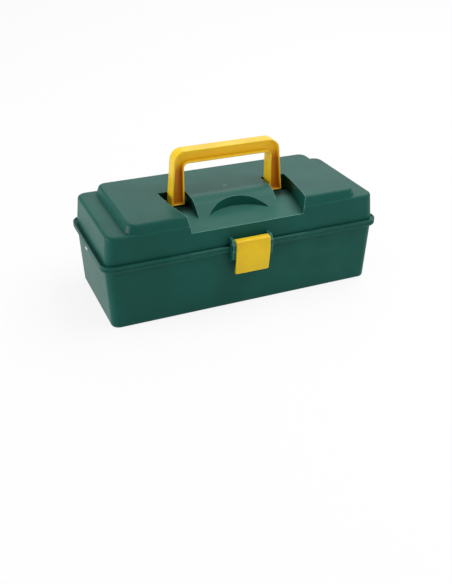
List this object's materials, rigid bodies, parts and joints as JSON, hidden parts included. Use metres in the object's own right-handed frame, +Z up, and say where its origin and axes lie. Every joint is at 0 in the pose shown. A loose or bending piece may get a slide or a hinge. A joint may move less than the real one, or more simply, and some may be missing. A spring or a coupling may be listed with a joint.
{
  "type": "plastic tool case with lift tray",
  "caption": "Small plastic tool case with a hinged lid, a folding carry handle recessed in the lid, a swinging front latch and a pocketed tray that rises on arms as the lid opens.",
  "frame": {"origin": "middle of the base's underside, on the surface that the case stands on", "axes": "+X along the case from its left end to its right end as seen from the front, -Y out of the front where the latch is, +Z up"},
  "size_m": [0.312, 0.151, 0.1595],
  "materials": {
    "green_shell": "fine-grained moulded polypropylene",
    "yellow_fittings": "smooth moulded",
    "grey_tray": "satin moulded",
    "white_arms": "satin moulded",
    "white_rivets": "smooth moulded",
    "steel_pins": "drawn wire"
  },
  "bodies": {
    "base": {"base_tub": "green_shell", "hinge_pin_left": "steel_pins", "hinge_pin_right": "steel_pins"},
    "lid": {"lid_shell": "green_shell", "latch_pin": "steel_pins"},
    "latch": {"front_latch": "yellow_fittings"},
    "handle": {"carry_handle": "yellow_fittings"},
    "front_arms": {"front_arm_left": "white_arms", "front_arm_right": "white_arms", "base_rivet_front_left": "white_rivets", "base_rivet_front_right": "white_rivets"},
    "rear_arms": {"rear_arm_left": "white_arms", "rear_arm_right": "white_arms", "base_rivet_rear_left": "white_rivets", "base_rivet_rear_right": "white_rivets"},
    "tray": {"lift_tray": "grey_tray", "tray_rivet_front_left": "white_rivets", "tray_rivet_front_right": "white_rivets", "tray_rivet_rear_left": "white_rivets", "tray_rivet_rear_right": "white_rivets"}
  },
  "joints": [
    {"name": "lid_hinge", "type": "hinge", "parent": "base", "child": "lid", "pos_m": [0, 0.0713, 0.06915], "axis": [-1, 0, 0], "range_deg": [0, 175]},
    {"name": "latch_swing", "type": "hinge", "parent": "lid", "child": "latch", "pos_m": [0, -0.07, 0.0765], "axis": [-1, 0, 0], "range_deg": [0, 120]},
    {"name": "handle_fold", "type": "hinge", "parent": "lid", "child": "handle", "pos_m": [0, -0.0035, 0.103], "axis": [1, 0, 0], "range_deg": [0, 92]},
    {"name": "front_arms_swing", "type": "hinge", "parent": "base", "child": "front_arms", "pos_m": [0, 0.016, 0.058], "axis": [-1, 0, 0], "range_deg": [0, 120]},
    {"name": "rear_arms_swing", "type": "hinge", "parent": "base", "child": "rear_arms", "pos_m": [0, 0.052, 0.061], "axis": [-1, 0, 0], "range_deg": [0, 120]},
    {"name": "tray_level", "type": "hinge", "parent": "rear_arms", "child": "tray", "pos_m": [0, 0.00254, 0.07707], "axis": [-1, 0, 0], "range_deg": [-120, 0]}
  ],
  "couplings": [
    {"joint": "front_arms_swing", "follows": "lid_hinge", "ratio": 0.6857},
    {"joint": "rear_arms_swing", "follows": "lid_hinge", "ratio": 0.6857},
    {"joint": "tray_level", "follows": "lid_hinge", "ratio": -0.6857}
  ]
}
